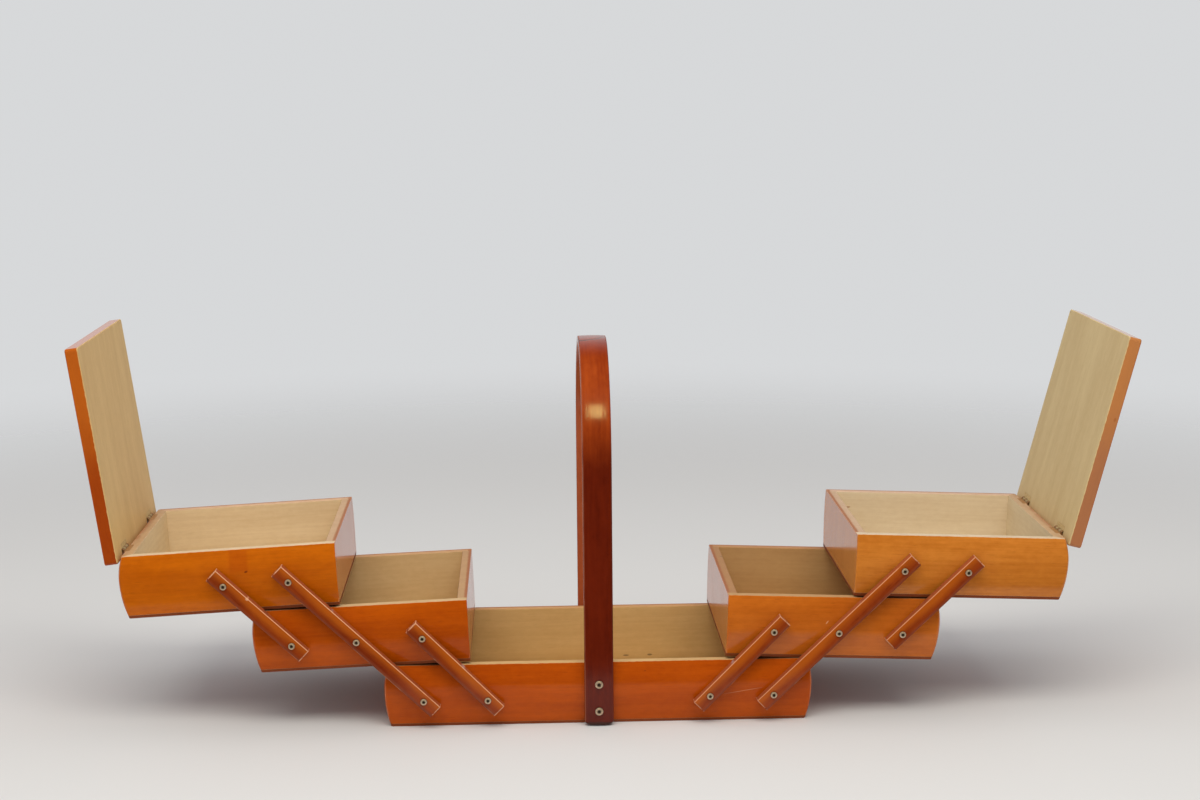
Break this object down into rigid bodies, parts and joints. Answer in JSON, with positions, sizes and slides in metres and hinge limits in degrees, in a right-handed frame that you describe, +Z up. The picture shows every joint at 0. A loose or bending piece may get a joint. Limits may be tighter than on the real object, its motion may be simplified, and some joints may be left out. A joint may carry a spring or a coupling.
{
  "type": "sewing carrier with two lids",
  "caption": "Wooden sewing carrier with a hoop handle, cantilever trays that swing out on flat arms to each side, and flat hinged lids on the top trays.",
  "frame": {"origin": "centre of the base's underside, on the surface it stands on", "axes": "+X along the carrier to its right, +Y from the front to the back, +Z up"},
  "size_m": [0.9807, 0.232, 0.3622],
  "materials": {
    "moulded_board": "glossy orange varnish outside, bare wood at the rim and inside",
    "floor_board": "bare inside, dark stained edge",
    "lid_wood": "bare inner face, glossy varnish outside and on the edges",
    "arm_wood": "glossy red-brown varnish, worn pale at the edges",
    "handle_wood": "glossy dark red-brown varnish on bent wood",
    "pivot_screw": "dull plated steel, cross recess",
    "handle_screw": "dull plated steel, cross recess",
    "hinge_brass": "tarnished brass",
    "hinge_screw": "tarnished brass"
  },
  "bodies": {
    "base": {"base_front_wall": "moulded_board", "base_back_wall": "moulded_board", "base_left_end": "moulded_board", "base_right_end": "moulded_board", "base_floor": "floor_board", "base_pivot_screws": "pivot_screw", "carry_handle": "handle_wood", "handle_screws": "handle_screw"},
    "left_long_arms": {"left_front_long_arm": "arm_wood", "left_back_long_arm": "arm_wood"},
    "left_mid_tray": {"left_mid_front_wall": "moulded_board", "left_mid_back_wall": "moulded_board", "left_mid_inner_end": "moulded_board", "left_mid_outer_end": "moulded_board", "left_mid_floor": "floor_board", "left_mid_pivot_screws": "pivot_screw"},
    "left_top_tray": {"left_top_front_wall": "moulded_board", "left_top_back_wall": "moulded_board", "left_top_inner_end": "moulded_board", "left_top_outer_end": "moulded_board", "left_top_floor": "floor_board", "left_top_pivot_screws": "pivot_screw", "left_tray_hinge_leaves": "hinge_brass", "left_tray_leaf_screws": "hinge_screw"},
    "left_inner_arms": {"left_front_inner_arm": "arm_wood", "left_back_inner_arm": "arm_wood"},
    "left_outer_arms": {"left_front_outer_arm": "arm_wood", "left_back_outer_arm": "arm_wood"},
    "left_lid": {"left_lid": "lid_wood", "left_lid_hinge_leaves": "hinge_brass", "left_hinge_pins": "hinge_brass", "left_lid_leaf_screws": "hinge_screw"},
    "right_long_arms": {"right_front_long_arm": "arm_wood", "right_back_long_arm": "arm_wood"},
    "right_mid_tray": {"right_mid_front_wall": "moulded_board", "right_mid_back_wall": "moulded_board", "right_mid_inner_end": "moulded_board", "right_mid_outer_end": "moulded_board", "right_mid_floor": "floor_board", "right_mid_pivot_screws": "pivot_screw"},
    "right_top_tray": {"right_top_front_wall": "moulded_board", "right_top_back_wall": "moulded_board", "right_top_inner_end": "moulded_board", "right_top_outer_end": "moulded_board", "right_top_floor": "floor_board", "right_top_pivot_screws": "pivot_screw", "right_tray_hinge_leaves": "hinge_brass", "right_tray_leaf_screws": "hinge_screw"},
    "right_inner_arms": {"right_front_inner_arm": "arm_wood", "right_back_inner_arm": "arm_wood"},
    "right_outer_arms": {"right_front_outer_arm": "arm_wood", "right_back_outer_arm": "arm_wood"},
    "right_lid": {"right_lid": "lid_wood", "right_lid_hinge_leaves": "hinge_brass", "right_hinge_pins": "hinge_brass", "right_lid_leaf_screws": "hinge_screw"}
  },
  "joints": [
    {"name": "left_fold", "type": "hinge", "parent": "base", "child": "left_long_arms", "pos_m": [-0.163, 0, 0.028], "axis": [0, 1, 0], "range_deg": [0, 91.3]},
    {"name": "left_mid_tray_level", "type": "hinge", "parent": "left_long_arms", "child": "left_mid_tray", "pos_m": [-0.22363, 0, 0.08614], "axis": [0, 1, 0], "range_deg": [-89.1, 0]},
    {"name": "left_top_tray_level", "type": "hinge", "parent": "left_long_arms", "child": "left_top_tray", "pos_m": [-0.28427, 0, 0.14428], "axis": [0, 1, 0], "range_deg": [-88.4, 0]},
    {"name": "left_inner_arms_turn", "type": "hinge", "parent": "base", "child": "left_inner_arms", "pos_m": [-0.1035, 0, 0.028], "axis": [0, 1, 0], "range_deg": [0, 90.2]},
    {"name": "left_outer_arms_turn", "type": "hinge", "parent": "left_mid_tray", "child": "left_outer_arms", "pos_m": [-0.28309, 0, 0.08386], "axis": [0, 1, 0], "range_deg": [0, 89.44]},
    {"name": "left_lid_hinge", "type": "hinge", "parent": "left_top_tray", "child": "left_lid", "pos_m": [-0.44094, 0, 0.16753], "axis": [0, 1, 0], "range_deg": [0, 94.7]},
    {"name": "right_fold", "type": "hinge", "parent": "base", "child": "right_long_arms", "pos_m": [0.163, 0, 0.028], "axis": [0, -1, 0], "range_deg": [0, 91.3]},
    {"name": "right_mid_tray_level", "type": "hinge", "parent": "right_long_arms", "child": "right_mid_tray", "pos_m": [0.22363, 0, 0.08614], "axis": [0, -1, 0], "range_deg": [-89.1, 0]},
    {"name": "right_top_tray_level", "type": "hinge", "parent": "right_long_arms", "child": "right_top_tray", "pos_m": [0.28427, 0, 0.14428], "axis": [0, -1, 0], "range_deg": [-89, 0]},
    {"name": "right_inner_arms_turn", "type": "hinge", "parent": "base", "child": "right_inner_arms", "pos_m": [0.1035, 0, 0.028], "axis": [0, -1, 0], "range_deg": [0, 90.2]},
    {"name": "right_outer_arms_turn", "type": "hinge", "parent": "right_mid_tray", "child": "right_outer_arms", "pos_m": [0.28309, 0, 0.08386], "axis": [0, -1, 0], "range_deg": [0, 89.15]},
    {"name": "right_lid_hinge", "type": "hinge", "parent": "right_top_tray", "child": "right_lid", "pos_m": [0.44069, 0, 0.16917], "axis": [0, -1, 0], "range_deg": [0, 102.3]}
  ],
  "couplings": [
    {"joint": "left_mid_tray_level", "follows": "left_fold", "ratio": -0.9759},
    {"joint": "left_top_tray_level", "follows": "left_fold", "ratio": -0.96824},
    {"joint": "left_inner_arms_turn", "follows": "left_fold", "ratio": 0.98793},
    {"joint": "left_outer_arms_turn", "follows": "left_fold", "ratio": 0.97968},
    {"joint": "right_mid_tray_level", "follows": "right_fold", "ratio": -0.9759},
    {"joint": "right_top_tray_level", "follows": "right_fold", "ratio": -0.97481},
    {"joint": "right_inner_arms_turn", "follows": "right_fold", "ratio": 0.98793},
    {"joint": "right_outer_arms_turn", "follows": "right_fold", "ratio": 0.97644}
  ]
}
